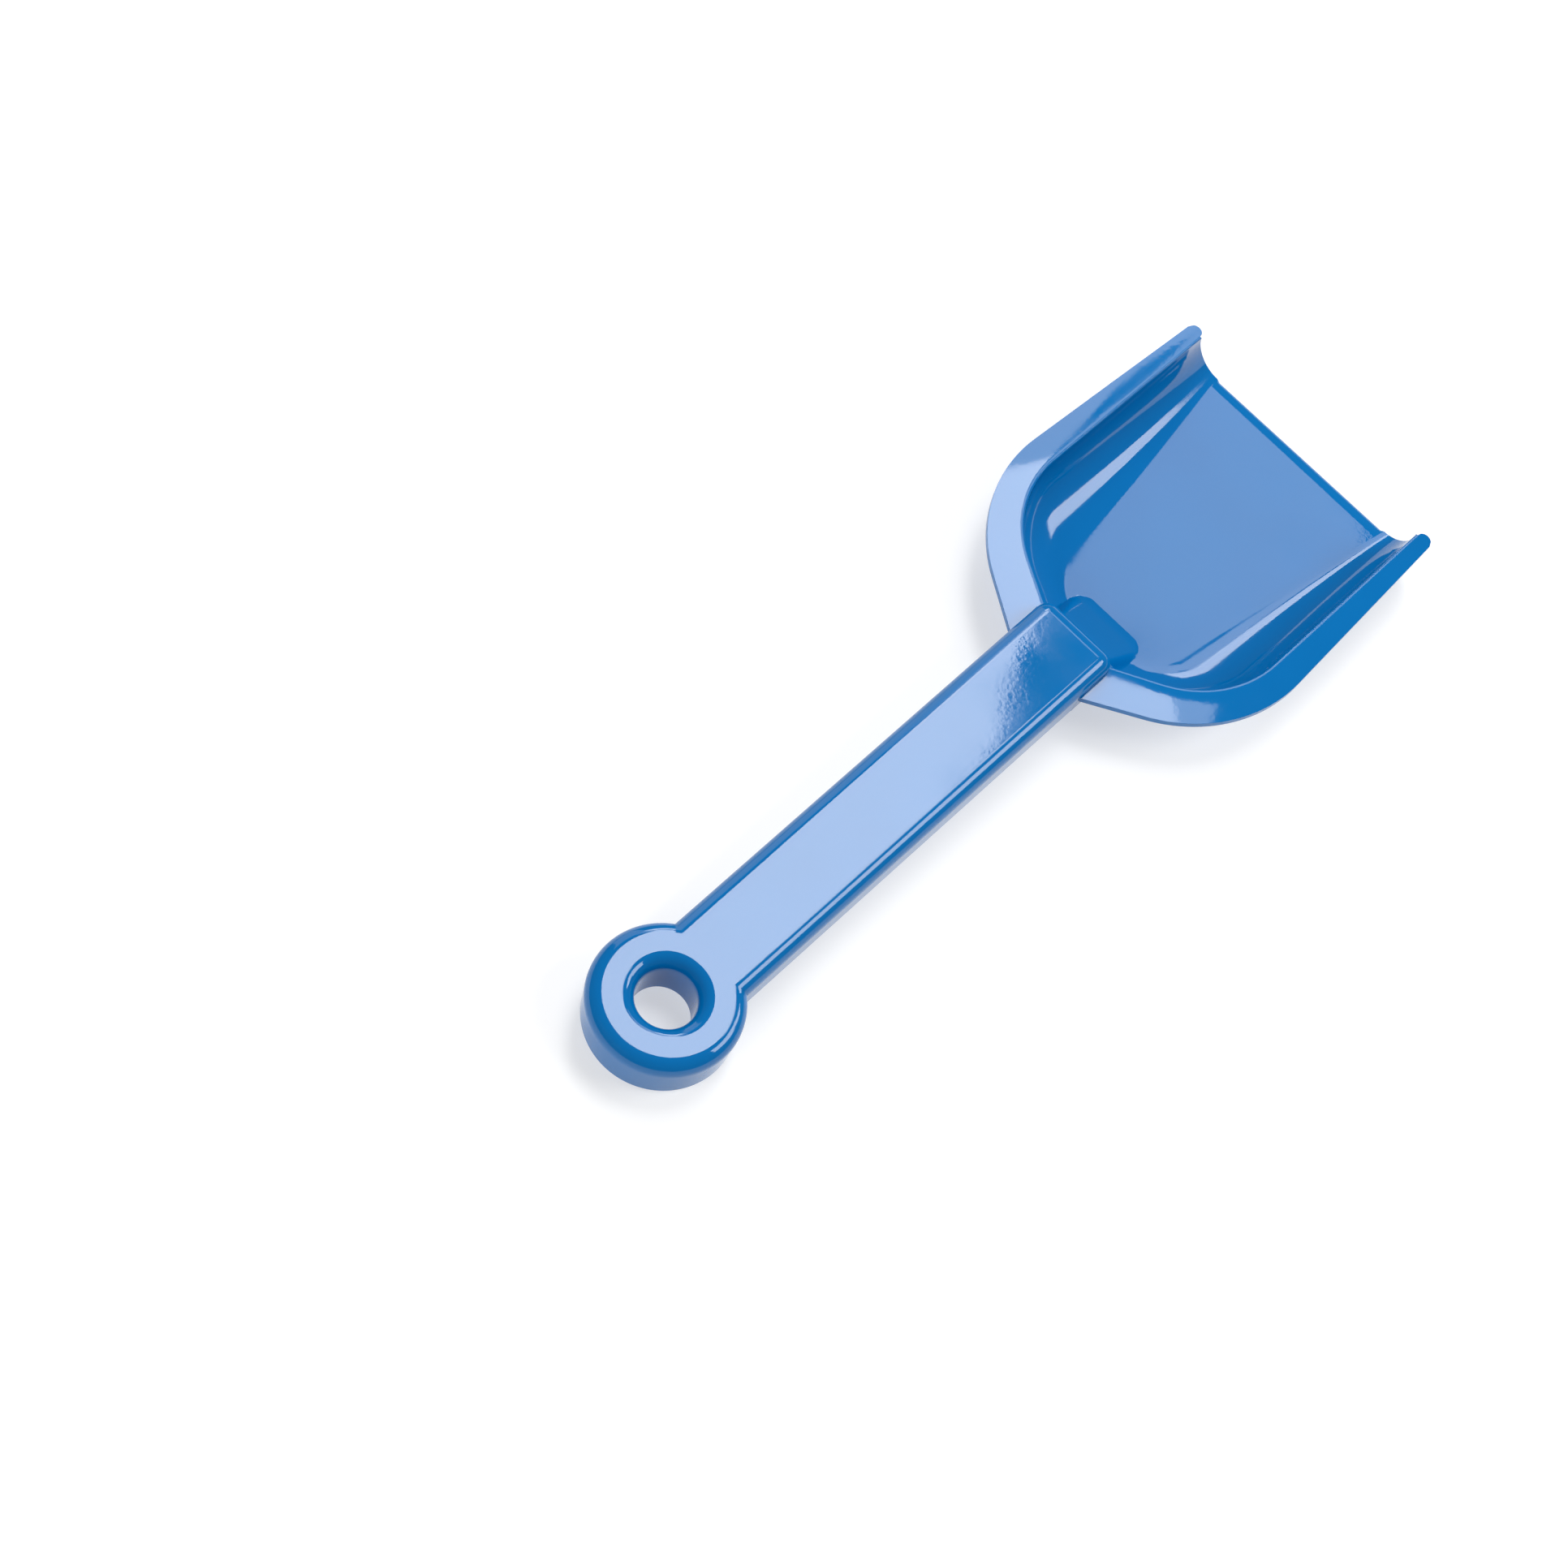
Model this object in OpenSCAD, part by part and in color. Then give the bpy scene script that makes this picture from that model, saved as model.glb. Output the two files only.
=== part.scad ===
// Child's sand shovel: a moulded pan with a flat rim, held by a hollow handle of two shells.
// The handle ends in a ring to hang it by. The shovel lies on the ground at z = 0, on its pan and its ring,
// with the lip towards +Y. All sizes are in millimetres.

/* [Handle] */
// From the middle of the ring to the neck, where the rim of the pan begins
handle_l = 127.5; // [100:0.5:160]
// Width of the grip
handle_w = 22.6; // [20:0.2:26]
// Height of the grip and of the ring
handle_h = 14; // [12:0.5:18]
// Height of the upper shell, from the seam to the flat top
upper_h = 4.8; // [4.4:0.1:6]
// Radius of the rounded upper edges
bevel_r = 3.5; // [2:0.1:4]
// How far the upper shell runs over the rim of the pan
overlap_l = 11; // [9:0.5:12]
// Lean of the end face of the upper shell, in degrees
end_lean = 14; // [0:1:25]
// Radius of the upper edge and of the corners of the end face
end_r = 3.5; // [1:0.1:4]
// Wall of both shells
shell_t = 2; // [1.6:0.1:2.4]
// How far the lower shell stands back from the upper one at the seam
seam_step = 0.3; // [0.1:0.1:0.6]
// How much the lower shell narrows on each side towards the ground
draft_w = 0.2; // [0.1:0.1:1.5]
// Chamfer along the lower edges
foot_chamfer = 1; // [0.5:0.1:1.5]

/* [Ring] */
// Outer diameter of the ring
ring_d = 36; // [32:0.5:42]
// Diameter of the hole
hole_d = 14; // [11:0.5:15]
// Radius of the rounded mouth of the hole
mouth_r = 3.5; // [2:0.1:4]
// Chamfer of the hole on the ground side
hole_chamfer = 1; // [0.5:0.1:1.5]

/* [Pins that hold the shells] */
// Diameter of the pins of the upper shell
pin_d = 5; // [4:0.5:6]
// Wall of the sockets of the lower shell
socket_t = 2; // [1.2:0.1:2.4]
// Gap round the pins and at the ends of the pieces
fit_gap = 0.15; // [0.1:0.05:0.3]
// Distance of the first pin from the middle of the ring
pin_first = 28; // [25:0.5:32]

/* [Blade] */
// Length of the blade, from the neck to the lip
blade_l = 104.5; // [90:0.5:130]
// Height of the rim above the ground
rim_h = 15.5; // [13:0.5:19]
// How far the front tips of the rim stay behind the lip
tip_back = 3; // [2:0.1:6]
// How far the front edges of the walls stay behind the lip, at the rim
wall_back = 4.8; // [3:0.1:8]
// Outer width across the front tips
mouth_w = 80.4; // [78:0.2:90]
// Outer width across the back corners, before they are rounded
corner_w = 88.8; // [84:0.2:98]
// Distance of the back corners of the rim from the neck
corner_y = 20.8; // [16:0.2:25]
// Radius of the back corners of the rim
corner_r = 40; // [30:1:42]
// Thickness of the rim
rim_t = 1.8; // [1.4:0.1:2.4]
// Inner width of the rim, along the whole pan
pan_w = 72.8; // [68:0.2:75]
// Distance of the inner back corners from the neck
pan_corner_y = 26; // [23:0.2:30]
// Radius of the inner back corners
pan_corner_r = 30; // [24:1:34]
// Radius of the edge between the rim and the pan
roll_r = 0.8; // [0.5:0.1:2]
// Wall of the pan
pan_t = 2; // [1.6:0.1:2.6]
// Width of the flat floor at the lip
floor_front_w = 56.8; // [50:0.2:62]
// Width of the flat floor at its back corners, before they are rounded
floor_back_w = 27.2; // [24:0.2:40]
// Distance of the back corners of the floor from the neck
floor_corner_y = 28.4; // [26:0.2:32]
// Width of the back edge of the floor
floor_end_w = 16.8; // [15:0.2:24]
// Distance of the back edge of the floor from the neck
floor_end_y = 25; // [21:0.2:26]
// Radius of the back corners of the floor
floor_corner_r = 11; // [6:0.5:12]
// Depth of the flat that the pan stands on
foot_h = 0.2; // [0.1:0.05:0.4]
// How far that flat stays inside the edge of the floor
foot_in = 0.6; // [0.3:0.1:2]
// Length of the bevel along the lip
lip_l = 3.4; // [2.5:0.1:8]
// Thickness of the lip at its edge
lip_t = 0.8; // [0.5:0.1:1.4]

/* [Step and tang of the blade] */
// Width of the step in front of the handle
step_w = 17; // [14:0.5:20]
// Depth of the top of the step below the rim
step_drop = 5.1; // [4:0.1:7]
// Length of the flat top of the step, from the end of the handle
step_l = 4; // [3.5:0.5:8]
// Length of the slope in front of the step
step_slope_l = 16; // [12:0.5:20]
// How much wider the step is on each side at its foot
step_flare = 1.8; // [0.5:0.1:3]
// Radius of the upright corners of the step
step_r = 3; // [1:0.1:3.4]
// Depth of the tang below the seam
tang_depth = 3.2; // [2:0.1:4]
// Gap between the tang and the side walls of the lower shell
tang_gap = 0.3; // [0.2:0.05:0.6]
// Distance of the nearer tang pin from the neck
tang_pin_y = 11; // [8:0.5:14]
// Distance between the two tang pins
tang_pin_step = 17; // [12:0.5:22]
// Length of the tang behind its last pin
tang_tail = 9; // [6:0.5:12]

/* [Colour] */
// Colour of the shovel
shovel_colour = "DodgerBlue"; // [DodgerBlue, FireBrick, Gold]

/* [Hidden] */
$fn = 64;
hull_fn = 48;
pan_steps = 6;
roll_steps = 3;
past = 15;
slice = 0.05;

ring_r = ring_d / 2;
hole_r = hole_d / 2;
half_w = handle_w / 2;
pin_r = pin_d / 2;
socket_r = pin_r + socket_t;
// Inside of the lower shell, and the tang that lies in it
inner_w = half_w - seam_step - draft_w - shell_t;
ring_inner_r = ring_r - seam_step - draft_w - shell_t;
tang_w = 2 * (inner_w - tang_gap);
tang_top = -shell_t - fit_gap;
tang_low = -upper_h - tang_depth;
handle_end = handle_l + overlap_l;

// Where the pins stand along the handle, from the middle of the ring
tang_pins = [handle_l - tang_pin_y - tang_pin_step, handle_l - tang_pin_y];
tang_back = tang_pins[0] - tang_tail;
plain_pins = [pin_first, (pin_first + tang_back) / 2];
all_pins = concat(plain_pins, tang_pins);

// The handle slopes so that the ring touches the ground and the seam meets the rim at the neck
foot_r = ring_r - seam_step - draft_w - foot_chamfer;
slope_run = foot_r + handle_l;
slope_drop = handle_h - upper_h;
tilt = asin(rim_h / norm([slope_run, slope_drop])) - atan2(slope_drop, slope_run);
ring_z = foot_r * sin(tilt) + handle_h * cos(tilt);
rear_reach = (ring_r - bevel_r) * cos(tilt) - bevel_r * sin(tilt) + bevel_r;

// The end of the upper shell leans out as it goes down to the rim
end_slope = tan(end_lean);
end_depth = (upper_h + overlap_l * tan(tilt)) / (1 - end_slope * tan(tilt));
end_reach = handle_end + end_slope * end_depth;

// Places along the ground, with the middle of the whole length at y = 0
overall_l = rear_reach + handle_l * cos(tilt) + upper_h * sin(tilt) + blade_l;
front_y = overall_l / 2;
neck_y = front_y - blade_l;
ring_y = rear_reach - front_y;
handle_end_y = ring_y + handle_end * cos(tilt);
tip_y = front_y - tip_back;

// Corner points of the rim, of the pan at its edge and of the floor: front, corner and back
ear_r = (mouth_w - pan_w) / 4;
rim_pts = [[mouth_w / 2, tip_y - ear_r], [corner_w / 2, neck_y + corner_y], [half_w, neck_y]];
pan_pts = [
    [pan_w / 2, front_y],
    [pan_w / 2, neck_y + pan_corner_y],
    [half_w - seam_step, neck_y + overlap_l]
];
floor_pts = [
    [floor_front_w / 2, front_y],
    [floor_back_w / 2, neck_y + floor_corner_y],
    [floor_end_w / 2, neck_y + floor_end_y]
];
floor_h = pan_t + foot_h;
throat_h = rim_h - roll_r;
wall_rise = throat_h - floor_h;
step_h = rim_h - step_drop;
blade_space_w = corner_w + 2 * past;

function unit(v) = v / norm(v);
function half_angle(a, b, c) = acos(unit(a - b) * unit(c - b)) / 2;
// Where a rounded corner at b leaves the side towards a
function round_start(a, b, c, r) = b + unit(a - b) * r / tan(half_angle(a, b, c));
function round_middle(a, b, c, r) = b + unit(unit(a - b) + unit(c - b)) * r / sin(half_angle(a, b, c));
// The front point moved on past the lip, along its side
function run_on(p) = p[0] + (p[0] - p[1]) * past / (p[0][1] - p[1][1]);
function flip(p) = [-p[0], p[1]];

// Outline that is the same on both sides, from its front, rounded corner and back points on the right
module plan(front, corner, back, r) {
    right = [front, round_start(front, corner, back, r), round_start(back, corner, front, r), back];
    polygon(concat(right, [for (i = [3:-1:0]) flip(right[i])]));
    middle = round_middle(front, corner, back, r);
    for (p = [middle, flip(middle)]) translate(p) circle(r);
}

// Level slice of the pan between its floor (share 0) and the wall below its edge (share 1)
module pan_plan(share, grow) {
    p = floor_pts * (1 - share) + pan_pts * share;
    r = floor_corner_r * (1 - share) + pan_corner_r * share;
    offset(delta = grow - roll_r * share) plan(run_on(p), p[1], p[2], r);
}

// Solid form of the pan up to the given height: its hollow, or its outside when it is grown by the wall
module pan_form(grow, top) {
    hull() {
        for (i = [0:pan_steps - 1]) {
            a = 90 * i / pan_steps;
            z = floor_h + wall_rise * (1 - cos(a)) - grow * cos(a);
            translate([0, 0, z]) linear_extrude(slice) pan_plan(sin(a), grow * sin(a), $fn = hull_fn);
        }
        translate([0, 0, throat_h]) linear_extrude(top - throat_h) pan_plan(1, grow, $fn = hull_fn);
    }
}

// Mouth of the pan, which widens in a curve up to the rim
module pan_mouth() {
    for (i = [1:roll_steps]) hull() for (k = [i - 1, i]) {
        a = 90 * k / roll_steps;
        z = throat_h + roll_r * sin(a);
        translate([0, 0, z]) linear_extrude(slice) pan_plan(1, roll_r * (1 - cos(a)), $fn = hull_fn);
    }
}

// Rim as a flat sheet with round tips
module rim() {
    translate([0, 0, rim_h - rim_t]) linear_extrude(rim_t) {
        plan(rim_pts[0], rim_pts[1], rim_pts[2], corner_r);
        for (s = [-1, 1]) translate([s * (mouth_w / 2 - ear_r), tip_y - ear_r]) circle(ear_r);
    }
}

// Flat that the pan stands on
module pan_foot() {
    linear_extrude(floor_h / 2) offset(delta = -foot_in)
        plan(run_on(floor_pts), floor_pts[1], floor_pts[2], floor_corner_r);
}

// Space ahead of the leaning front edge of the pan, and above the bevel of the lip
module front_space() {
    lean = wall_back / rim_h;
    side = [[front_y + lean * past, -past], [front_y + 2 * past, -past], [front_y + 2 * past, 2 * past],
        [front_y - lean * 2 * past, 2 * past]];
    across(blade_space_w) polygon(side);
    across(floor_front_w) polygon([[front_y - lip_l, floor_h], [front_y, lip_t], [front_y + past, lip_t],
        [front_y + past, floor_h + past], [front_y - lip_l, floor_h + past]]);
}

// Turns a side view of y and z into a solid across the shovel
module across(w) {
    translate([-w / 2, 0, 0]) rotate([90, 0, 90]) linear_extrude(w) children();
}

// Takes a piece from the frame of the handle, at the top of the ring, to the ground
module on_handle() {
    translate([0, ring_y, ring_z]) rotate([tilt, 0, 0]) children();
}

// Turns a section of x and z into a bar along the handle
module along(from, to) {
    translate([0, to, 0]) rotate([90, 0, 0]) linear_extrude(to - from) children();
}

module both_sides() {
    children();
    mirror([1, 0]) children();
}

// Half section of the upper shell, down to the given depth
module upper_half(w, depth) {
    intersection() {
        translate([0, -depth]) square([w, depth]);
        union() {
            translate([0, -depth]) square([w - bevel_r, depth]);
            translate([0, -depth]) square([w, depth - bevel_r]);
            translate([w - bevel_r, -bevel_r]) circle(bevel_r);
        }
    }
}

// Half section of the lower shell
module lower_half(w) {
    top = w - seam_step;
    low = top - draft_w;
    polygon([[0, -upper_h], [top, -upper_h], [low, foot_chamfer - handle_h],
        [low - foot_chamfer, -handle_h], [0, -handle_h]]);
}

// Round hole of the ring, with its rounded mouth and its chamfer
module ring_hole() {
    wide = hole_r + mouth_r;
    translate([0, 0, -handle_h - 1]) cylinder(r = hole_r, h = handle_h + 2);
    rotate_extrude() difference() {
        translate([0, -mouth_r]) square([wide, mouth_r + 1]);
        translate([wide, -mouth_r]) circle(mouth_r);
    }
    translate([0, 0, -handle_h - slice])
        cylinder(r1 = hole_r + hole_chamfer + slice, r2 = hole_r, h = hole_chamfer + slice);
}

module pins(ys, r, low, high) {
    for (y = ys) translate([0, y, low]) cylinder(r = r, h = high - low);
}

// Outline of the step at one height, with round front corners
module step_plan(w, l) {
    translate([-w / 2, handle_end_y]) square([w, l - step_r]);
    for (s = [-1, 1]) translate([s * (w / 2 - step_r), handle_end_y + l - step_r])
        circle(step_r, $fn = hull_fn);
}

// Step in the pan in front of the end of the handle, with sloping sides
module step() {
    hull() {
        translate([0, 0, floor_h / 2]) linear_extrude(slice)
            step_plan(step_w + 2 * step_flare, step_l + step_slope_l);
        translate([0, 0, step_h - slice]) linear_extrude(slice) step_plan(step_w, step_l);
    }
}

// Shoulder under the rim that carries on the line of the lower shell
module shoulder() {
    intersection() {
        on_handle() along(handle_l, handle_end + step_l) both_sides() lower_half(half_w);
        translate([-past, neck_y - past, 0]) cube([2 * past, 4 * past, rim_h - rim_t / 2]);
    }
}

// Tang that lies inside the handle, with holes for its two pins
module tang() {
    on_handle() difference() {
        along(tang_back, handle_end - shell_t - fit_gap)
            translate([-tang_w / 2, tang_low]) square([tang_w, tang_top - tang_low]);
        pins(tang_pins, pin_r + fit_gap, tang_low - 1, tang_top + 1);
    }
}

module blade() {
    color(shovel_colour) difference() {
        union() {
            difference() {
                union() {
                    pan_form(pan_t, rim_h - min(rim_t, roll_r) / 2);
                    pan_foot();
                }
                front_space();
            }
            rim();
            shoulder();
            tang();
        }
        difference() {
            union() {
                pan_form(0, rim_h);
                pan_mouth();
            }
            step();
        }
    }
}

// Side view of the upper shell: flat top, rounded front edge, leaning end face, and underside that follows
// the seam to the neck and then lies on the rim
module upper_side() {
    back = [0, 0];
    edge = [handle_end, 0];
    foot = [end_reach, -end_depth];
    under = [foot, [handle_l, -upper_h], [0, -upper_h], back];
    intersection() {
        polygon(concat([edge], under));
        union() {
            polygon(concat([round_start(back, edge, foot, end_r),
                round_start(foot, edge, back, end_r)], under));
            translate(round_middle(back, edge, foot, end_r)) circle(end_r);
        }
    }
}

// Plan of the upper shell from the middle of the ring to its end, with round corners
module upper_plan() {
    translate([-half_w, 0]) square([handle_w, end_reach - end_r]);
    translate([end_r - half_w, 0]) square([handle_w - 2 * end_r, end_reach]);
    for (s = [-1, 1]) translate([s * (half_w - end_r), end_reach - end_r]) circle(end_r);
}

// Section of the space inside the upper shell
module shell_space() {
    low = 2 * upper_h;
    translate([shell_t - half_w, -low]) square([handle_w - 2 * shell_t, low - shell_t]);
}

module handle_top() {
    color(shovel_colour) on_handle() union() {
        difference() {
            union() {
                rotate_extrude() upper_half(ring_r, upper_h);
                intersection() {
                    along(0, handle_end + past) both_sides() upper_half(half_w, upper_h + past);
                    across(handle_w + past) upper_side();
                    translate([0, 0, -past]) linear_extrude(2 * past) upper_plan();
                }
            }
            along(ring_r, handle_end - shell_t) shell_space();
            ring_hole();
        }
        pins(all_pins, pin_r, shell_t + fit_gap - handle_h, slice - shell_t);
    }
}

module handle_bottom() {
    front = handle_l - fit_gap;
    floor_z = shell_t - handle_h;
    color(shovel_colour) on_handle() difference() {
        union() {
            difference() {
                union() {
                    rotate_extrude() lower_half(ring_r);
                    along(0, front) both_sides() lower_half(half_w);
                }
                translate([0, 0, floor_z]) cylinder(r = ring_inner_r, h = handle_h);
                along(0, front + 1) translate([-inner_w, floor_z]) square([2 * inner_w, handle_h]);
            }
            translate([0, 0, floor_z - slice])
                cylinder(r = hole_r + shell_t, h = -upper_h - floor_z + slice);
            pins(plain_pins, socket_r, floor_z - slice, -upper_h);
            pins(tang_pins, socket_r, floor_z - slice, tang_low - fit_gap);
        }
        ring_hole();
        pins(all_pins, pin_r + fit_gap, floor_z, 0);
    }
}

blade();
handle_top();
handle_bottom();
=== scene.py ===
import math

import bmesh
import bpy
from mathutils import Matrix, Vector
from mathutils.bvhtree import BVHTree


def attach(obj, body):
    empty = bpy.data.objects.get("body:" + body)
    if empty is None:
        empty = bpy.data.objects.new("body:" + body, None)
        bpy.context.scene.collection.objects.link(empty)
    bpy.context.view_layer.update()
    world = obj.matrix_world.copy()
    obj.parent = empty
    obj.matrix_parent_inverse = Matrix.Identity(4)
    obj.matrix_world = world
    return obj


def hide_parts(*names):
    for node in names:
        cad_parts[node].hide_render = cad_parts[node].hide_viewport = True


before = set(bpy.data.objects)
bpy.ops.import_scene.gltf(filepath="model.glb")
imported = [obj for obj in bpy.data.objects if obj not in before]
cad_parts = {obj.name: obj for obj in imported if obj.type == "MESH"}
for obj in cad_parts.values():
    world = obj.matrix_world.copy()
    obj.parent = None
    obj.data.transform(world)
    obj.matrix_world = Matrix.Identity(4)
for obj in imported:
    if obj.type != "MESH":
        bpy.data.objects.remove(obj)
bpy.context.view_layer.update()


# Pan of the blade: a thin-walled polypropylene moulding. Its floor sweeps up into flared walls, which end
# in a crisp edge, and from that edge a rim runs out and droops a little. Its upper and lower skins are
# lofted through the same levels and bridged along their edge. All shapes are drawn in millimetres.
rim_h = 15.5
rim_t = 1.8
wall_t = 2.0
floor_h = 2.2
rim_slope = 0.045
rim_droop = 0.0045
edge_r = 0.6
inner_fillet_r = 0.8
throat_h = rim_h - edge_r
wall_rise = throat_h - floor_h
neck_y = 20.46
front_y = 124.96
wall_back = 4.8
tip_back = 2.9
tip_y = front_y - tip_back
ear_r = 1.9
lip_l = 3.4
lip_t = 0.3
nose_in = 1.0
foot_in = 0.6
sharp_edge_r = 0.3
# Front, corner and back of each outline on the right-hand side, and the radius of its corner
floor_plan = [Vector((28.4, front_y)), Vector((13.6, neck_y + 28.4)), Vector((8.4, neck_y + 25.0)), 11.0]
pan_plan = [Vector((36.4, front_y)), Vector((36.4, neck_y + 26.0)), Vector((11.0, neck_y + 11.0)), 30.0]
rim_plan = [Vector((40.2, tip_y)), Vector((44.4, neck_y + 20.8)), Vector((11.3, neck_y)), 40.0]
# Points along each outline, and the rows of each skin: their number, and the degrees from row to row
back_steps, corner_steps, side_steps, nose_steps = 6, 24, 20, 7
wall_rows, wall_turn = 16, 6
edge_rows, edge_turn = 5, 15
rim_shares = (0.05, 0.11, 0.18, 0.27, 0.4, 0.55, 0.7, 0.85, 1.0)


def between(a, b, share):
    return a * (1 - share) + b * share


def right_side(direction):
    return Vector((direction.y, -direction.x))


def outline(plan, grow, front, z):
    """One level of a skin, from its left front end round the back to its right front end."""
    ahead, corner, back, radius = plan
    to_front, to_back = (ahead - corner).normalized(), (back - corner).normalized()
    half = to_front.angle(to_back) / 2
    middle = corner + (to_front + to_back).normalized() * radius / math.sin(half)
    leave = corner + to_back * radius / math.tan(half)
    arrive = corner + to_front * radius / math.tan(half)
    slant, side = right_side(-to_back), right_side(to_front)
    mitre = (Vector((0, -1)) + slant) / (1 + slant.dot(Vector((0, -1))))
    right = [Vector((back.x * i / back_steps, back.y - grow)) for i in range(back_steps)]
    right.append(back + mitre * grow)
    right += [between(back, leave, i / back_steps) + slant * grow for i in range(1, back_steps + 1)]
    sweep = slant.angle(side)
    for i in range(1, corner_steps + 1):
        right.append(middle + Matrix.Rotation(sweep * i / corner_steps, 2) @ slant * (radius + grow))
    start = arrive + side * grow
    run = (front - start.y) / to_front.y
    right += [start + to_front * (run - lip_l) * i / side_steps for i in range(1, side_steps + 1)]
    right.append(start + to_front * run)
    left = [Vector((-p.x, p.y)) for p in reversed(right[1:])]
    return [Vector((p.x, p.y, z)) for p in left + right]


def front_edge(z):
    """Where the front edge of the walls lies at one level: it leans back as it rises."""
    return front_y - wall_back * z / rim_h


def ear_end(share):
    """Where the rim ends at the front: its two tips are round in plan."""
    return tip_y - ear_r + ear_r * math.sqrt(1 - (2 * share - 1) ** 2)


def rim_rows(first_grow, drop):
    """Rows of the rim from the edge of the pan out to its own edge, which droops."""
    rows = []
    for share in rim_shares:
        inner = outline(pan_plan, first_grow, ear_end(share), 0)
        outer = outline(rim_plan, 0, ear_end(share), 0)
        row = []
        for p, q in zip(inner, outer):
            point = between(p, q, share)
            out = (point - p).length
            point.z = rim_h - rim_slope * out - rim_droop * out * out - drop
            row.append(point)
        rows.append(row)
    return rows


upper_rows, lower_rows = [], []
for i in range(wall_rows):
    a = math.radians(wall_turn * i)
    share, z = math.sin(a), floor_h + wall_rise * (1 - math.cos(a))
    plan = [between(f, p, share) for f, p in zip(floor_plan, pan_plan)]
    upper_rows.append(outline(plan, -edge_r * share, front_edge(z), z))
    z -= wall_t * math.cos(a)
    lower_rows.append(outline(plan, (wall_t - edge_r) * share, front_edge(z), z))
for i in range(1, edge_rows + 1):
    a = math.radians(edge_turn * i)
    z = throat_h + edge_r * math.sin(a)
    upper_rows.append(outline(pan_plan, -edge_r * math.cos(a), front_edge(z), z))
    z = rim_h - rim_t - inner_fillet_r * (1 - math.sin(a))
    grow = wall_t - edge_r + inner_fillet_r * (1 - math.cos(a))
    lower_rows.append(outline(pan_plan, grow, front_edge(z), z))
upper_rows += rim_rows(-edge_r * math.cos(math.radians(edge_turn * edge_rows)), 0)
lower_rows += rim_rows(wall_t - edge_r + inner_fillet_r, rim_t)


def loft(bm, rows):
    """A sheet through rows of points that lie side by side."""
    across, up = len(rows[0]) - 1, len(rows) - 1
    sheet = bmesh.ops.create_grid(bm, x_segments=across, y_segments=up, size=0.5)["verts"]
    places = {}
    for v in sheet:
        i, j = round((v.co.x + 0.5) * across), round((v.co.y + 0.5) * up)
        places[i, j] = v
        v.co = rows[j][i]
    return places


def skin(bm, rows, lip_z):
    """One side of the pan: the loft of its walls and rim, its floor, and the round nose of the lip."""
    place = loft(bm, rows)
    last = len(rows[0]) - 1
    floor = bm.faces.new([place[i, 0] for i in range(1, last)])
    ends = place[1, 0], place[last - 1, 0]
    start, tip = ends[0].co.copy(), place[0, 0].co
    for i in range(1, nose_steps + 1):
        a = math.radians(90 * i / nose_steps)
        x = start.x + (tip.x + nose_in - start.x) * math.sin(a)
        y = start.y + (front_y - start.y) * math.sin(a)
        z = lip_z + (start.z - lip_z) * math.cos(a)
        following = bm.verts.new((x, y, z)), bm.verts.new((-x, y, z))
        bm.faces.new((ends[0], following[0], following[1], ends[1]))
        bm.faces.new((place[0, 0], following[0], ends[0]))
        bm.faces.new((place[last, 0], ends[1], following[1]))
        ends = following
    return floor


def folded(edges, angle):
    """Those of the edges whose two faces meet at more than an angle."""
    return [e for e in edges if e.calc_face_angle(0) > angle]


def soften(bm, edges, radius, segments, clamp=True):
    """Rounds edges."""
    bmesh.ops.bevel(bm, geom=edges, offset=radius, offset_type="OFFSET", segments=segments, profile=0.5,
                    affect="EDGES", clamp_overlap=clamp, material=-1)


pan = bmesh.new()
skin(pan, upper_rows, lip_t)
foot = skin(pan, lower_rows, 0.0)
bmesh.ops.bridge_loops(pan, edges=[e for e in pan.edges if e.is_boundary])
bmesh.ops.recalc_face_normals(pan, faces=pan.faces)
bmesh.ops.inset_region(pan, faces=[foot], thickness=foot_in, depth=floor_h - wall_t, use_even_offset=True)
pan.normal_update()
soften(pan, folded(pan.edges, math.radians(50)), sharp_edge_r, 3)


# Step of the blade: a block moulded onto the floor and the back wall, just ahead of the end of the handle.
# It stiffens the neck. It slopes down to the floor, and its edges and its foot are round.
step_w = 21.8
step_h = 8.5
step_slope = math.tan(math.radians(27))
step_back = 33.0
step_front = 57.0
side_slope = 2.6
step_corner_r = 4.5
step_top_r = 3.5
step_toe_r = 1.0
side_foot_r = 5.0
wall_foot_r = 2.0
least_r = 0.001
well_above = 50
# The patch of skin that the block rises from lies sunk in the pan, and its underside deeper
patch_w = 30
sunk_h = 0.04
buried_h = 1.0


def soft_low(a, b, radius):
    """The lower of two heights, with a round where they cross."""
    return min(a, b) - max(radius - abs(a - b), 0) ** 2 / (4 * radius)


def soft_high(a, b, radius):
    """The higher of two heights, with a round where they cross."""
    return -soft_low(-a, -b, radius)


pan_surface = BVHTree.FromBMesh(pan)


def pan_height(p):
    """Height of the inside of the pan above its floor, at one place in plan."""
    return pan_surface.ray_cast(Vector((p.x, p.y, well_above)), Vector((0, 0, -1)))[0].z - floor_h


def verts_in(geom):
    return [g for g in geom if isinstance(g, bmesh.types.BMVert)]


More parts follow.
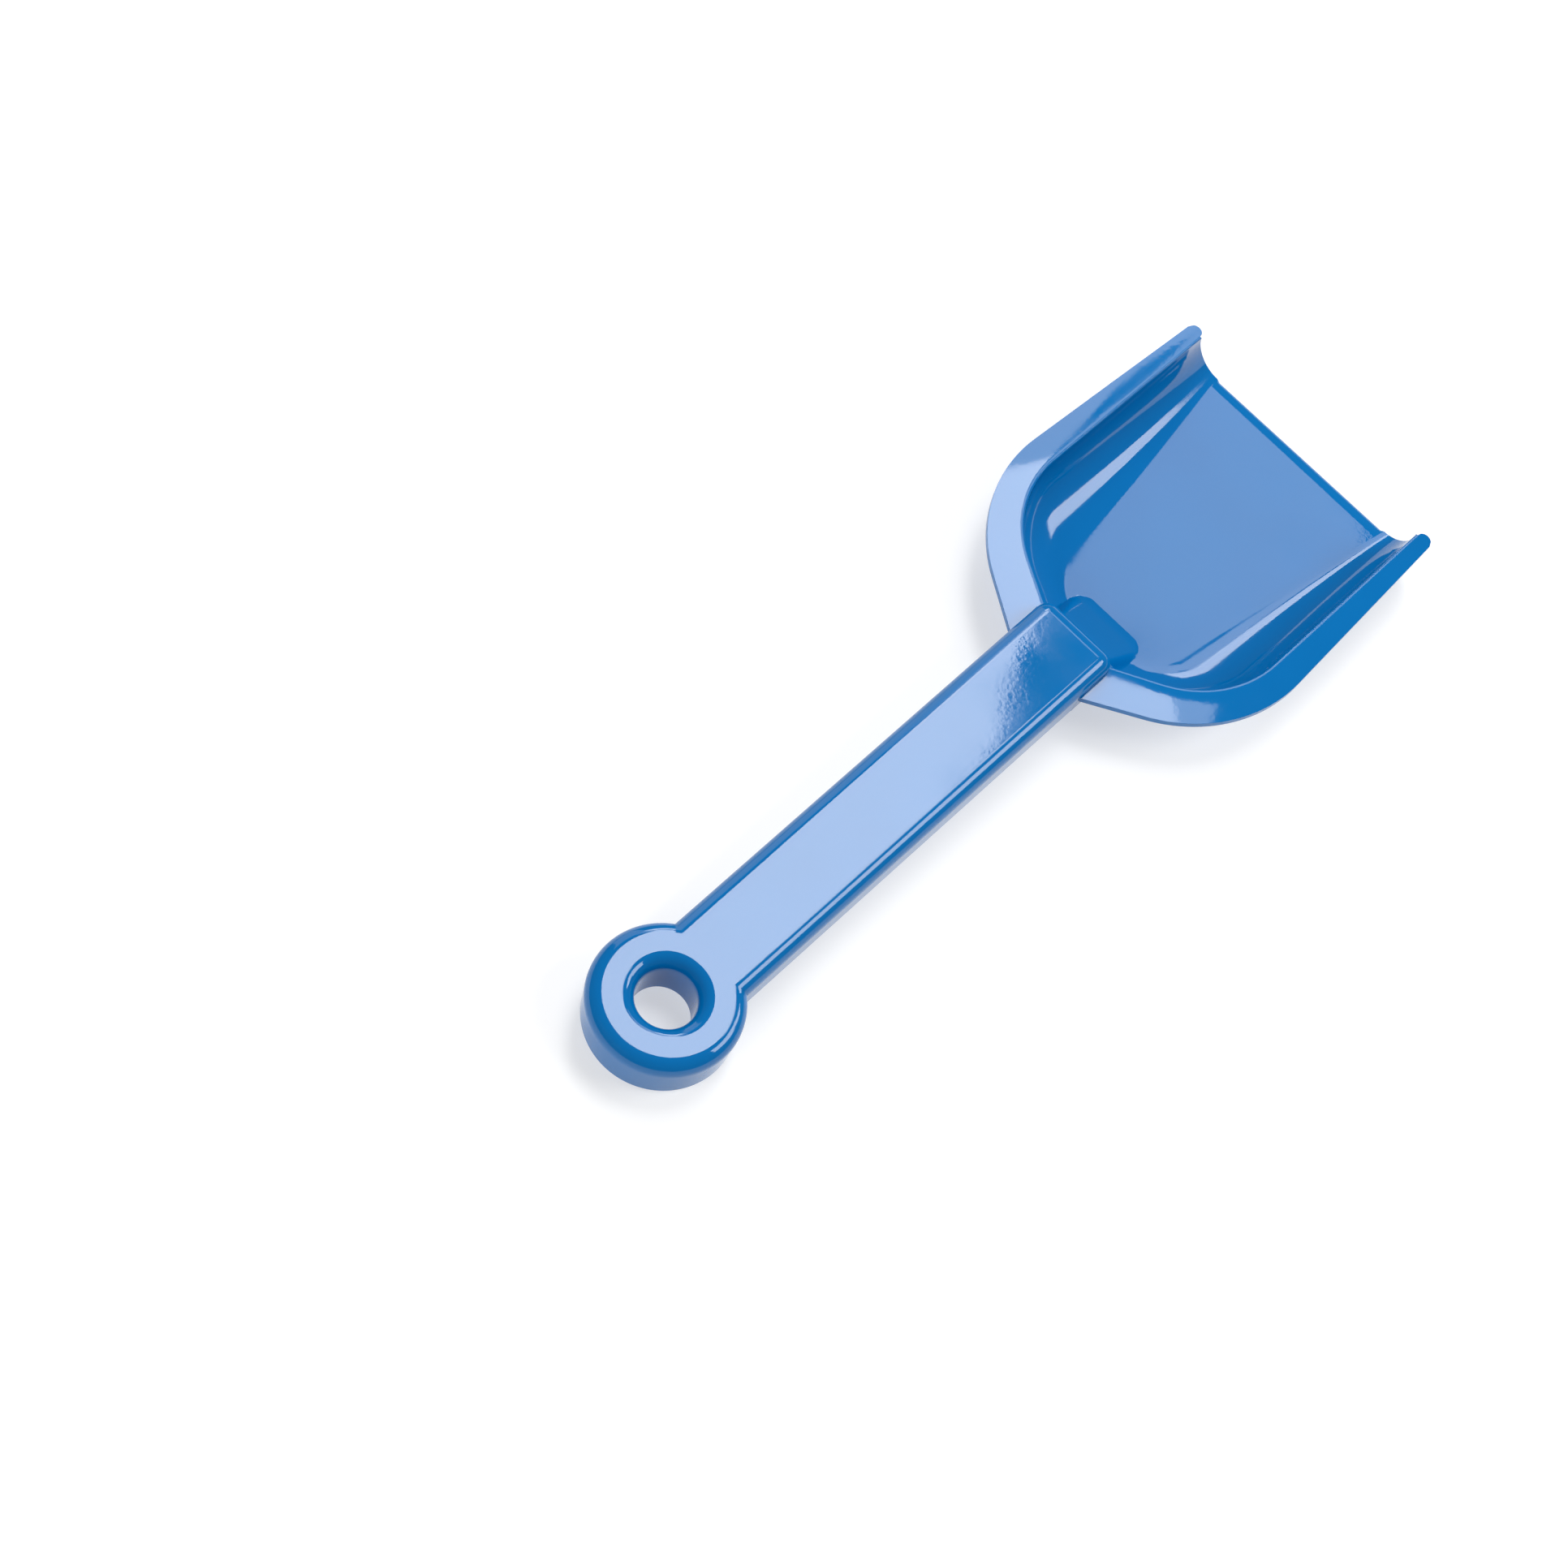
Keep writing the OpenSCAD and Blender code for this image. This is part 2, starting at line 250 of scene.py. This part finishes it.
step = bmesh.new()
bmesh.ops.create_grid(step, x_segments=64, y_segments=52, size=0.5)
bmesh.ops.transform(step, verts=step.verts, matrix=Matrix.Translation((0, (step_back + step_front) / 2, 0))
                    @ Matrix.Diagonal((patch_w, step_front - step_back, 1, 1)))
top_skin = list(step.verts)
buried = bmesh.ops.extrude_face_region(step, geom=step.faces[:])["geom"]
for v in top_skin:
    inside = step_w / 2 - abs(v.co.x)
    into_corner = min(max(step_corner_r - inside, 0), step_corner_r)
    setback = step_corner_r - math.sqrt(step_corner_r ** 2 - into_corner ** 2)
    slope = soft_high(0, step_h - (v.co.y - step_back + setback) * step_slope, step_toe_r)
    side = soft_high(0, inside * side_slope, side_foot_r)
    block = soft_low(slope, side, step_top_r)
    behind = pan_height(v.co)
    v.co.z = floor_h - sunk_h + soft_high(behind, block, min(wall_foot_r, behind) + least_r)
for v in verts_in(buried):
    v.co.z = floor_h - buried_h + pan_height(v.co)
bmesh.ops.recalc_face_normals(step, faces=step.faces)


def join(bm, other):
    """Adds another bmesh to this one as a part of the same moulding."""
    carrier = bpy.data.meshes.new("carrier")
    other.to_mesh(carrier)
    other.free()
    bm.from_mesh(carrier)
    bpy.data.meshes.remove(carrier)


join(pan, step)


# Shoulder and tang of the blade, of one moulding with it: the shoulder carries on the line of the lower
# shell under the rim. The tang is a flat bar with two holes that lies inside the handle, where pins of
# the upper shell hold it. Both are drawn with the handle lying level, and are then tilted with it.
MM = 0.001
tilt = math.radians(2.511)
ring_middle = (0, -107.1276, 14.7094)
on_handle = Matrix.Translation(ring_middle) @ Matrix.Rotation(tilt, 4, "X")
handle_l = 127.5
seam_z = -4.8
underside_z = -14.0
seam_half_w = 11.0
foot_half_w = 10.8
foot_chamfer = 1.0
shoulder_front = 139.3
shoulder_lean = 2.0
under_rim = 0.03
tang_half_w = 8.5
tang_back = 90.5
tang_front = 136.3
tang_z = -8.0
tang_t = 5.85
tang_pins = (99.5, 116.5)
bore_r = 2.65

shoulder = bmesh.new()
near_corner = Vector((-seam_half_w, handle_l, underside_z))
far_corner = Vector((seam_half_w, shoulder_front, seam_z))
box_place = Matrix.Translation((near_corner + far_corner) / 2)
box_size = Matrix.Diagonal(far_corner - near_corner).to_4x4()
corners = bmesh.ops.create_cube(shoulder, size=1, matrix=box_place @ box_size)["verts"]
low_corners = [v for v in corners if v.co.z < (underside_z + seam_z) / 2]
for v in low_corners:
    v.co.x *= foot_half_w / seam_half_w
    if v.co.y > (handle_l + shoulder_front) / 2:
        v.co.y += shoulder_lean
low_edges = [e for e in shoulder.edges if all(v in low_corners for v in e.verts)]
soften(shoulder, [e for e in low_edges if e.verts[0].co.x * e.verts[1].co.x > 0], foot_chamfer, 3)
bmesh.ops.transform(shoulder, matrix=on_handle, verts=shoulder.verts)
for v in shoulder.verts:
    if v.co.z > rim_h - rim_t:
        v.co.z = rim_h - under_rim
join(pan, shoulder)

tang = bmesh.new()
for y in tang_pins:
    bmesh.ops.create_circle(tang, segments=32, radius=bore_r, matrix=Matrix.Translation((0, y, tang_z)))
bar_plan = ((-tang_half_w, tang_back), (tang_half_w, tang_back),
            (tang_half_w, tang_front), (-tang_half_w, tang_front))
bar = [tang.verts.new((x, y, tang_z)) for x, y in bar_plan]
for i in range(4):
    tang.edges.new((bar[i], bar[i - 1]))
bmesh.ops.triangle_fill(tang, use_beauty=True, edges=tang.edges[:])
raised = bmesh.ops.extrude_face_region(tang, geom=tang.faces[:])["geom"]
bmesh.ops.translate(tang, vec=(0, 0, tang_t), verts=verts_in(raised))
bmesh.ops.recalc_face_normals(tang, faces=tang.faces)
bmesh.ops.transform(tang, matrix=on_handle, verts=tang.verts)
join(pan, tang)


def finish_piece(bm, name, material):
    """Brings a finished bmesh to metres as a smooth object with one material."""
    bmesh.ops.scale(bm, vec=(MM, MM, MM), verts=bm.verts)
    mesh = bpy.data.meshes.new(name)
    bm.to_mesh(mesh)
    bm.free()
    mesh.shade_smooth()
    mesh.set_sharp_from_angle(angle=math.radians(40))
    mesh.materials.append(material)
    piece = bpy.data.objects.new(name, mesh)
    bpy.context.scene.collection.objects.link(piece)
    even = piece.modifiers.new("flat faces stay flat", "WEIGHTED_NORMAL")
    even.keep_sharp = True
    return piece


def blue_plastic(name):
    """Glossy moulded plastic: slow waves, smudges of handling and a faint mottle of the colour."""
    deep_blue, pale_blue = (0.0, 0.128, 0.376, 1), (0.0, 0.139, 0.402, 1)
    polished, handled = (0.04, 0.04, 0.04, 1), (0.10, 0.10, 0.10, 1)
    material = bpy.data.materials.new(name)
    material.use_nodes = True
    nodes, links = material.node_tree.nodes, material.node_tree.links
    shader = nodes["Principled BSDF"]
    shader.inputs["IOR"].default_value = 1.49
    place = nodes.new("ShaderNodeTexCoord")

    def noise(scale, detail):
        node = nodes.new("ShaderNodeTexNoise")
        node.inputs["Scale"].default_value = scale
        node.inputs["Detail"].default_value = detail
        links.new(place.outputs["Object"], node.inputs["Vector"])
        return node.outputs["Fac"]

    def ramp(value, low, high, low_colour, high_colour):
        node = nodes.new("ShaderNodeValToRGB")
        for element, at, colour in zip(node.color_ramp.elements, (low, high), (low_colour, high_colour)):
            element.position = at
            element.color = colour
        links.new(value, node.inputs["Fac"])
        return node.outputs["Color"]

    def bump(height, strength, distance):
        node = nodes.new("ShaderNodeBump")
        node.inputs["Strength"].default_value = strength
        node.inputs["Distance"].default_value = distance
        links.new(height, node.inputs["Height"])
        return node

    mottle = ramp(noise(scale=22, detail=3), 0.35, 0.65, deep_blue, pale_blue)
    links.new(mottle, shader.inputs["Base Color"])
    smudges = ramp(noise(scale=55, detail=5), 0.40, 0.72, polished, handled)
    links.new(smudges, shader.inputs["Roughness"])
    waves = bump(noise(scale=48, detail=1), strength=0.10, distance=0.0006)
    peel = bump(noise(scale=900, detail=2), strength=0.05, distance=0.0001)
    links.new(waves.outputs["Normal"], peel.inputs["Normal"])
    links.new(peel.outputs["Normal"], shader.inputs["Normal"])
    return material


blade = finish_piece(pan, "blade", blue_plastic("blade_blue"))
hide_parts("blade")
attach(blade, "root")


# Lower shell of the handle: a tray of the same plastic, from the ring to the neck, with drafted side walls.
# Four sockets stand on its floor for the pins of the upper shell. Its rim is the seam along the sides.
seam_ring_r = 17.7
foot_ring_r = 17.5
hole_r = 7.0
low_end = 127.48
foot_z = underside_z + foot_chamfer
shell_t = 2.1
draft_w = 0.1
tray_depth = 7.2
foot_edge_r = 0.4
socket_r = 4.5
socket_z = -12.1
seat_gap = 0.15
plain_pins = (28.0, 59.25)
ring_steps, hole_steps = 44, 40
tiny = 0.0001
# What lies nearer to the middle of the ring than this belongs to its hole
hole_reach = (hole_r + foot_ring_r) / 2
# Edges whose faces meet at more than this angle, in radians, are rounded
fold_angle = 0.5


def at_level(geom, z):
    """Whether a vertex, an edge or a face lies wholly at one level."""
    return all(abs(v.co.z - z) < tiny for v in (geom.verts if hasattr(geom, "verts") else [geom]))


def swing(bm, start, turn, angle, steps):
    """Swings a vertex round the ring, anticlockwise for a turn of 1, and gives the last one of its arc."""
    arc = bmesh.ops.spin(bm, geom=[start], cent=(0, 0, start.co.z), axis=(0, 0, turn),
                         angle=angle, steps=steps)
    return verts_in(arc["geom_last"])[0]


def handle_plan(bm, ring, half_width, end, hole, z):
    """Flat plan of the handle with its ring and hole, as two faces that meet along the middle."""
    back = bm.verts.new((0, -ring, z))
    join_angle = math.acos(half_width / ring)
    ring_end = swing(bm, back, 1, math.pi / 2 + join_angle, ring_steps)
    hole_front = bm.verts.new((0, hole, z))
    hole_back = swing(bm, hole_front, -1, math.pi, hole_steps)
    side = [ring_end, bm.verts.new((half_width, end, z)), bm.verts.new((0, end, z)), hole_front]
    for a, b in zip(side, side[1:]):
        bm.edges.new((a, b))
    bm.edges.new((hole_back, back))
    bmesh.ops.contextual_create(bm, geom=[e for e in bm.edges if at_level(e, z)])
    half = [g for seq in (bm.verts, bm.edges, bm.faces) for g in seq if at_level(g, z)]
    bmesh.ops.mirror(bm, geom=half, matrix=Matrix.Identity(4), merge_dist=0.001, axis="X")


def loop_at(bm, z, inner):
    """The edges of the outer outline, or of the hole, at one level."""
    return [e for e in bm.edges if len(e.link_faces) < 2 and at_level(e, z)
            and all((v.co.xy.length < hole_reach) == inner for v in e.verts)]


low = bmesh.new()
handle_plan(low, seam_ring_r, seam_half_w, low_end, hole_r, seam_z)
handle_plan(low, foot_ring_r, foot_half_w, low_end, hole_r, foot_z)
bmesh.ops.delete(low, geom=[f for f in low.faces if at_level(f, foot_z)], context="FACES_ONLY")
bare_edges = [e for e in low.edges if not e.link_faces]
middle_edges = [e for e in bare_edges if all(abs(v.co.x) < tiny for v in e.verts)]
bmesh.ops.delete(low, geom=middle_edges, context="EDGES")
handle_plan(low, foot_ring_r - foot_chamfer, foot_half_w - foot_chamfer, low_end, hole_r + foot_chamfer,
            underside_z)
for inner in (True, False):
    for upper, lower in ((seam_z, foot_z), (foot_z, underside_z)):
        bmesh.ops.bridge_loops(low, edges=loop_at(low, upper, inner) + loop_at(low, lower, inner))
bmesh.ops.recalc_face_normals(low, faces=low.faces)
cover = [f for f in low.faces if at_level(f, seam_z)]
bmesh.ops.inset_region(low, faces=cover, thickness=shell_t, use_even_offset=True)
bmesh.ops.inset_region(low, faces=cover, thickness=draft_w, depth=-tray_depth, use_even_offset=True)
low.normal_update()
foot_edges = [e for e in low.edges if all(v.co.z < foot_z + tiny for v in e.verts)]
soften(low, folded(foot_edges, fold_angle), foot_edge_r, 2)


def socket(bm, y, high):
    """A round post with a bore, from the floor of the shell up to the given level."""
    corners = ((bore_r, socket_z), (socket_r, socket_z), (socket_r, high), (bore_r, high))
    profile = [bm.verts.new((r, y, z)) for r, z in corners]
    ring = profile + [bm.edges.new((profile[i], profile[i - 1])) for i in range(4)]
    bmesh.ops.spin(bm, geom=ring, cent=(0, y, 0), axis=(0, 0, 1), angle=math.tau, steps=40, use_merge=True)


for y in plain_pins:
    socket(low, y, seam_z)
for y in tang_pins:
    socket(low, y, tang_z - seat_gap)
bmesh.ops.recalc_face_normals(low, faces=low.faces)
bmesh.ops.transform(low, matrix=on_handle, verts=low.verts)
handle_bottom = finish_piece(low, "handle_bottom", blue_plastic("lower_shell_blue"))
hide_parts("handle_bottom")
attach(handle_bottom, "root")


# Upper shell of the handle: the flat top of the grip and of the ring, with a broad round along every edge
# and round the mouth of the hole. It is pressed onto the lower shell, and its end stands on the rim.
top_ring_r = 18.0
top_half_w = 11.3
handle_end = 138.5
end_depth = 5.341
end_reach = 139.832
end_corner_r = 3.55
top_edge_r = 3.5
seam_edge_r = 0.25
seam_fold_angle = 0.9

top = bmesh.new()
handle_plan(top, top_ring_r, top_half_w, handle_end, hole_r, 0.0)
pressed = bmesh.ops.extrude_face_region(top, geom=top.faces[:])["geom"]
bmesh.ops.translate(top, vec=(0, 0, seam_z), verts=verts_in(pressed))


def cut(bm, geom, place, across):
    """Cuts faces along a plane and keeps both sides."""
    bmesh.ops.bisect_plane(bm, geom=geom, dist=tiny, plane_co=place, plane_no=across)


lengthwise, sideways = (0, 1, 0), (1, 0, 0)
cut(top, top.verts[:] + top.edges[:] + top.faces[:], (0, handle_l, 0), lengthwise)
end_verts = [v for v in top.verts if v.co.y > handle_end - tiny]
for v in end_verts:
    if at_level(v, seam_z):
        v.co.y, v.co.z = end_reach, -end_depth
bmesh.ops.recalc_face_normals(top, faces=top.faces)
end_sides = [v for v in end_verts if abs(v.co.x) > top_half_w / 2]
soften(top, [e for e in top.edges if all(v in end_sides for v in e.verts)], end_corner_r, 8)
top.normal_update()
soften(top, folded([e for e in top.edges if at_level(e, 0)], fold_angle), top_edge_r, 10, clamp=False)
top.normal_update()
seam_edges = [e for e in top.edges if all(v.co.z < seam_z + tiny for v in e.verts)]
outer_edges = [e for e in seam_edges if all(v.co.xy.length > hole_reach for v in e.verts)]
soften(top, folded(outer_edges, seam_fold_angle), seam_edge_r, 2)

# Underside of the upper shell, moulded with it: it is hollow between the ring and the end, and four pins
# stand in the hollow. Two of them go straight into the lower shell, and two through the tang first.
hollow_back = 18
hollow_front = 136.5
hollow_half_w = 9.3
hollow_depth = 2.8
pin_r = 2.5
pin_l = 9.95
pin_z = -11.85
slack = 0.01
facing_down = -0.9


def faces_below(bm):
    """The faces of the upper shell that look down on the lower one."""
    bm.normal_update()
    return [f for f in bm.faces if f.normal.z < facing_down and f.calc_center_median().z < seam_z / 2]


def in_hollow(v):
    return abs(v.co.x) < hollow_half_w + slack and hollow_back - slack < v.co.y < hollow_front + slack


for place, across in (((0, hollow_back, 0), lengthwise), ((0, hollow_front, 0), lengthwise),
                      ((hollow_half_w, 0, 0), sideways), ((-hollow_half_w, 0, 0), sideways)):
    below = dict.fromkeys(g for f in faces_below(top) for g in (f, *f.edges, *f.verts))
    cut(top, list(below), place, across)
hollow = [f for f in faces_below(top) if all(in_hollow(v) for v in f.verts)]
bmesh.ops.inset_region(top, faces=hollow, thickness=draft_w, depth=-hollow_depth, use_even_offset=True)
for y in plain_pins + tang_pins:
    bmesh.ops.create_cone(top, cap_ends=True, segments=32, radius1=pin_r, radius2=pin_r, depth=pin_l,
                          matrix=Matrix.Translation((0, y, pin_z + pin_l / 2)))
bmesh.ops.transform(top, matrix=on_handle, verts=top.verts)
handle_top = finish_piece(top, "handle_top", blue_plastic("upper_shell_blue"))
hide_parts("handle_top")
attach(handle_top, "root")


# Floor and light of the studio: a wide sheet of white paper, and flat panels hung round it like the soft
# boxes and cards of a product table. From here on lengths are in metres.
white = (1, 1, 1, 1)
paper_grey = (0.5, 0.5, 0.5, 1)
paper_glow = 0.54
room_light = 0.12
panel_h = 1.2
floor_bm = bmesh.new()
bmesh.ops.create_grid(floor_bm, x_segments=1, y_segments=1, size=3)
floor_mesh = bpy.data.meshes.new("studio_floor")
floor_bm.to_mesh(floor_mesh)
floor_bm.free()
studio_floor = bpy.data.objects.new("studio_floor", floor_mesh)
bpy.context.scene.collection.objects.link(studio_floor)
paper = bpy.data.materials.new("white_paper")
paper.use_nodes = True
paper_shader = paper.node_tree.nodes["Principled BSDF"]
paper_shader.inputs["Base Color"].default_value = paper_grey
paper_shader.inputs["Roughness"].default_value = 0.9
paper_shader.inputs["Specular IOR Level"].default_value = 0.0
paper_shader.inputs["Emission Color"].default_value = white
paper_shader.inputs["Emission Strength"].default_value = paper_glow
floor_mesh.materials.append(paper)

world = bpy.data.worlds.new("studio")
world.use_nodes = True
world.node_tree.nodes["Background"].inputs["Color"].default_value = white
world.node_tree.nodes["Background"].inputs["Strength"].default_value = room_light
bpy.context.scene.world = world


def panel(name, centre, aim, across, radiance, width, height):
    """A flat light that faces along aim; across is the direction of its width."""
    lamp = bpy.data.lights.new(name, "AREA")
    lamp.shape = "RECTANGLE"
    lamp.size, lamp.size_y = width, height
    lamp.energy = radiance * math.pi * width * height
    light = bpy.data.objects.new(name, lamp)
    back = -aim.normalized()
    along = (across - back * across.dot(back)).normalized()
    light.matrix_world = Matrix((along, back.cross(along), back)).transposed().to_4x4()
    light.location = centre
    bpy.context.scene.collection.objects.link(light)
    return light


def overhead(name, out_low, out_high, along_low, along_high, radiance):
    """A level panel above the shovel; its long edge runs slantwise over the neck."""
    edge_dir, edge_out = Vector((0.62, -0.785, 0)), Vector((0.785, 0.62, 0))
    out, along = edge_out * (out_low + out_high) / 2, edge_dir * (along_low + along_high) / 2
    panel(name, out + along + Vector((0, 0, panel_h)), Vector((0, 0, -1)), edge_dir,
          radiance, width=along_high - along_low, height=out_high - out_low)


# Level panels: where each begins and ends outwards and along the edge, and its brightness
overhead("softbox", -0.08, 0.212, -1.00, -0.20, 10)
overhead("bounce", 0.285, 0.53, -1.13, -0.76, 3.2)
overhead("inner_bounce", 0.24, 0.285, -1.045, -0.76, 3.2)
overhead("near_bounce", 0.285, 0.53, -1.75, -1.13, 3.3)
overhead("low_bounce", 0.212, 0.285, -1.60, -1.13, 3.6)
overhead("far_bounce", -0.25, 0.212, -1.45, -1.00, 3.6)
overhead("side_panel", 0.212, 0.36, -0.52, -0.22, 9)
overhead("side_fade", 0.36, 0.45, -0.52, -0.18, 4)
# Panels that stand round the shovel; the fill in front lights its sides and isn't mirrored in it
back_light = Vector((-0.75, 0.95, 0.895))
panel("back_light", back_light, -back_light, Vector((-0.75, 0, -0.66)), radiance=8, width=0.22, height=0.5)
strip_aim, strip_across = Vector((-0.71, -0.80, -0.98)), Vector((0.77, 0, -0.63))
panel("strip", Vector((0.656, 0.929, 0.914)), strip_aim, strip_across, radiance=8, width=0.36, height=0.31)
panel("long_strip", Vector((0.8665, 0.543, 1.076)), strip_aim, strip_across,
      radiance=7.5, width=0.62, height=0.62)
card = Vector((-1.13, 0.58, 0.61))
panel("card", card, -card, Vector((-0.4, 0.04, -0.915)), radiance=1.15, width=1.07, height=0.42)
fill = Vector((-0.25, -1.1, 0.55))
front_fill = panel("front_fill", fill, -fill, Vector((1, 0, 0)), radiance=3.6, width=0.8, height=0.8)
front_fill.visible_glossy = False

# Camera at the photograph's viewing angle
lens = bpy.data.cameras.new("camera")
lens.sensor_width = 36
lens.lens = 87.478
lens.clip_start = 0.01
camera = bpy.data.objects.new("camera", lens)
camera.location = (0.133473, -0.449839, 0.754744)
camera.rotation_euler = [math.radians(a) for a in (27.48681, -12.58099, 43.57067)]
bpy.context.scene.collection.objects.link(camera)
bpy.context.scene.camera = camera
bpy.context.scene.view_settings.view_transform = "Standard"
